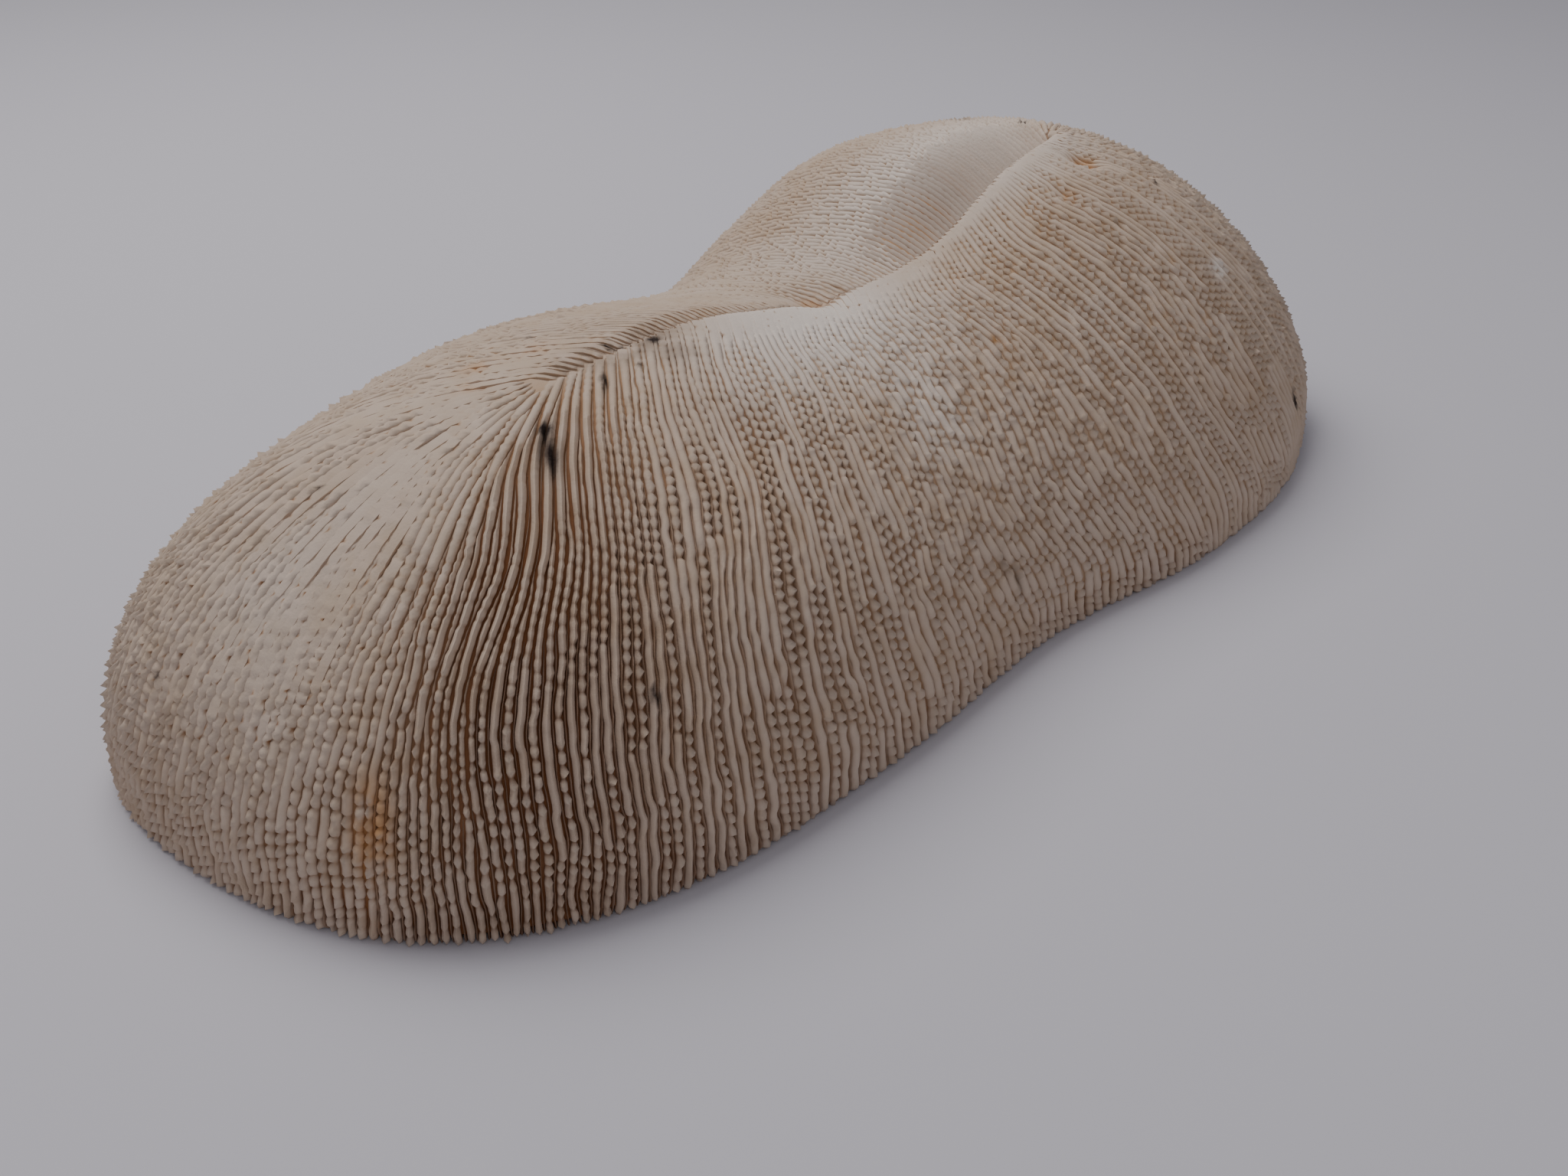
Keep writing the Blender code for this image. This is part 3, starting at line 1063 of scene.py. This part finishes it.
    def build(self, finish: "Finish") -> list[bpy.types.Object]:
        """Builds every piece and dresses it.

        Args:
            finish: The skeleton's finish.

        Returns:
            The finished pieces.
        """
        lines = self.lines()
        pieces = [self.wall(), *self.main_septa(lines), self.lamellae(lines)]
        material = finish.material()
        for piece in pieces:
            piece.data.materials.clear()
            piece.data.materials.append(material)
            activate(piece)
            bpy.ops.object.shade_smooth_by_angle(angle=np.radians(80))
            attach(piece, BODY)
            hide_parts(NODE)
            triangles = sum(len(face.vertices) - 2 for face in piece.data.polygons)
            LOG.info("%s: %d triangles", piece.name, triangles)
        return pieces


class Value:
    """A number that flows through a node tree, for use in Python expressions."""

    def __init__(self, graph: "Graph", socket: bpy.types.NodeSocket) -> None:
        """Wraps one output socket."""
        self.graph = graph
        self.socket = socket

    def math(self, operation: str, *values: "Value | float", clamp: bool = False) -> "Value":
        """Adds one Math node.

        Args:
            operation: The node's operation.
            values: Its inputs in order.
            clamp: Whether the result is kept between 0 and 1.

        Returns:
            The result.
        """
        inputs = dict(enumerate(values))
        node = self.graph.node("ShaderNodeMath", {"operation": operation, "use_clamp": clamp}, inputs)
        return Value(self.graph, node.outputs[0])

    def __add__(self, other: "Value | float") -> "Value":
        """Sum."""
        return self.math("ADD", self, other)

    __radd__ = __add__

    def __sub__(self, other: "Value | float") -> "Value":
        """Difference."""
        return self.math("SUBTRACT", self, other)

    def __rsub__(self, other: float) -> "Value":
        """Difference from a plain number."""
        return self.math("SUBTRACT", other, self)

    def __mul__(self, other: "Value | float") -> "Value":
        """Product."""
        return self.math("MULTIPLY", self, other)

    __rmul__ = __mul__

    def clamped(self) -> "Value":
        """The value kept between 0 and 1."""
        return self.math("MULTIPLY", self, 1.0, clamp=True)

    def ramp(self, low: float, high: float) -> "Value":
        """Rises smoothly from 0 at low to 1 at high."""
        settings = {"interpolation_type": "SMOOTHSTEP"}
        node = self.graph.node("ShaderNodeMapRange", settings, {0: self, 1: low, 2: high})
        return Value(self.graph, node.outputs[0])


class Graph:
    """A material's node tree."""

    def __init__(self, material: bpy.types.Material) -> None:
        """Takes the tree of a material that uses nodes."""
        self.tree = material.node_tree

    def node(self, kind: str, settings: dict, inputs: dict) -> bpy.types.Node:
        """Adds a node.

        Args:
            kind: The node's type.
            settings: Its properties, set first.
            inputs: Its sockets, by name or number, each with a number, a colour or what it is linked to.

        Returns:
            The node.
        """
        node = self.tree.nodes.new(kind)
        for name, value in settings.items():
            setattr(node, name, value)
        for key, value in inputs.items():
            socket = node.inputs[key]
            if isinstance(value, Value):
                self.tree.links.new(value.socket, socket)
            elif isinstance(value, bpy.types.NodeSocket):
                self.tree.links.new(value, socket)
            else:
                socket.default_value = value
        return node

    def stored(self, name: str) -> Value:
        """The value of a mesh's attribute."""
        node = self.node("ShaderNodeAttribute", {"attribute_name": name, "attribute_type": "GEOMETRY"}, {})
        return Value(self, node.outputs["Fac"])

    def noise(self, scale: float, detail: float, where: bpy.types.NodeSocket) -> Value:
        """Noise on object coordinates, from 0 to 1."""
        inputs = {"Vector": where, "Scale": scale, "Detail": detail}
        node = self.node("ShaderNodeTexNoise", {}, inputs)
        return Value(self, node.outputs[0])

    def blend(self, share: Value | float, low: object, high: object) -> bpy.types.NodeSocket:
        """Mixes two colours by share."""
        inputs = {0: share, 6: self.colour(low), 7: self.colour(high)}
        node = self.node("ShaderNodeMix", {"data_type": "RGBA"}, inputs)
        return node.outputs[2]

    @staticmethod
    def colour(value: object) -> object:
        """A colour with its alpha, or a socket as it is."""
        return (*value, 1.0) if isinstance(value, tuple) else value


@dataclass(frozen=True)
class Finish:
    """Dry, matte skeleton: cream tops, tan to umber grooves that carry their own brown and painted shade,
    bleached crest and a few stains.
    """

    name: str = "dry_coral"
    cream: Colour = (0.62, 0.49, 0.385)
    straw: Colour = (0.56, 0.42, 0.30)
    white: Colour = (0.80, 0.73, 0.66)
    tan: Colour = (0.50, 0.335, 0.205)
    umber: Colour = (0.28, 0.115, 0.045)
    grime: Colour = (0.17, 0.12, 0.09)
    soot: Colour = (0.035, 0.022, 0.018)
    rust: Colour = (0.60, 0.30, 0.10)
    roughness: float = 0.88

    def material(self) -> bpy.types.Material:
        """Makes the node material."""
        material = bpy.data.materials.new(self.name)
        material.use_nodes = True
        graph = Graph(material)
        shader = graph.tree.nodes["Principled BSDF"]
        where = graph.node("ShaderNodeTexCoord", {}, {}).outputs["Object"]

        broad = graph.noise(28.0, 3.0, where)
        blotch = graph.noise(140.0, 3.0, where)
        grain = graph.noise(1500.0, 2.0, where)
        hollow = (graph.stored("Hollow") + (blotch - 0.5) * 0.25).clamped()
        umber = (graph.stored("Umber") + (broad - 0.5) * 0.5).clamped()
        bleach = (graph.stored("Bleach") + (broad - 0.5) * 0.4 + (blotch - 0.5) * 0.3).clamped()

        tops = graph.blend(blotch.ramp(0.35, 0.70), self.cream, self.straw)
        tops = graph.blend(bleach, tops, self.white)
        grooves = graph.blend(umber, self.tan, self.umber)
        # Grooves, necks, pores, rim band and underside take the groove colours: their own brown plus painted
        # shade.
        colour = graph.blend(hollow.ramp(0.10, 0.95), tops, grooves)
        rust = graph.stored(Stain.RUST.value) * blotch.ramp(0.30, 0.60)
        colour = graph.blend(rust.clamped(), colour, self.rust)
        grime = graph.stored(Stain.GRIME.value) * blotch.ramp(0.25, 0.60)
        colour = graph.blend(grime.clamped() * 0.75, colour, self.grime)
        soot = (graph.stored(Stain.SOOT.value) * 1.4 - grain * 0.4).clamped()
        colour = graph.blend(soot, colour, self.soot)
        graph.tree.links.new(colour, shader.inputs["Base Color"])

        rough = grain * 0.08 + (self.roughness - 0.04)
        graph.tree.links.new(rough.socket, shader.inputs["Roughness"])
        height = grain * 0.7 + blotch * 0.6
        bump = graph.node("ShaderNodeBump", {}, {"Strength": 0.35, "Distance": 0.0004, "Height": height})
        graph.tree.links.new(bump.outputs[0], shader.inputs["Normal"])
        shader.inputs["Specular IOR Level"].default_value = 0.25
        return material


@dataclass(frozen=True)
class Studio:
    """Pale floor, soft light from above and behind, and the camera at the photo's place."""

    camera_place: tuple[float, float, float] = (-0.3570, -0.2795, 0.2500)
    heading: float = 51.57
    pitch: float = 30.55
    lens: float = 38.67
    sensor: float = 36.0
    floor_colour: Colour = (0.66, 0.65, 0.70)
    sky: Colour = (0.86, 0.85, 0.92)
    sky_strength: float = 0.26

    def floor(self) -> None:
        """Lays the plain floor."""
        bpy.ops.object.select_all(action="DESELECT")
        bpy.ops.mesh.primitive_plane_add(size=8.0, location=(0.0, 0.0, 0.0))
        floor = bpy.context.object
        floor.name = "floor"
        material = bpy.data.materials.new("pale_floor")
        material.use_nodes = True
        shader = material.node_tree.nodes["Principled BSDF"]
        shader.inputs["Base Color"].default_value = (*self.floor_colour, 1.0)
        shader.inputs["Roughness"].default_value = 0.8
        floor.data.materials.append(material)

    def lamp(self, name: str, place_at: Sequence[float], size: float, power: float, colour: Colour) -> None:
        """Hangs a square soft light that faces the coral."""
        data = bpy.data.lights.new(name, "AREA")
        data.shape = "SQUARE"
        data.size = size
        data.energy = power
        data.color = colour
        lamp = bpy.data.objects.new(name, data)
        bpy.context.scene.collection.objects.link(lamp)
        lamp.location = place_at
        facing = Vector((0.0, 0.0, 0.05)) - Vector(place_at)
        lamp.rotation_euler = facing.to_track_quat("-Z", "Y").to_euler()

    def sky_light(self) -> None:
        """Fills the surroundings with pale light."""
        world = bpy.data.worlds.new("studio")
        bpy.context.scene.world = world
        world.use_nodes = True
        background = world.node_tree.nodes["Background"]
        background.inputs[0].default_value = (*self.sky, 1.0)
        background.inputs[1].default_value = self.sky_strength

    def camera(self) -> None:
        """Sets up the camera."""
        data = bpy.data.cameras.new("camera")
        data.sensor_width = self.sensor
        data.lens = self.lens
        data.clip_start = 0.01
        camera = bpy.data.objects.new("camera", data)
        bpy.context.scene.collection.objects.link(camera)
        camera.location = self.camera_place
        camera.rotation_euler = (np.radians(90 - self.pitch), 0.0, np.radians(-self.heading))
        bpy.context.scene.camera = camera

    def build(self) -> None:
        """Sets up the whole studio."""
        self.floor()
        self.sky_light()
        self.lamp("overhead", (0.05, 0.50, 1.10), 0.9, 9.5, (1.0, 0.97, 0.96))
        self.lamp("front_fill", (-0.70, -0.80, 0.80), 0.9, 1.5, (0.94, 0.95, 1.0))
        self.camera()


def main() -> None:
    """Builds the coral and its studio."""
    logging.basicConfig(level=logging.INFO, format="%(name)s: %(message)s")
    pieces = Coral().build(Finish())
    Studio().build()
    bpy.ops.object.select_all(action="DESELECT")
    LOG.info("%d pieces", len(pieces))


if __name__ == "__main__":
    main()
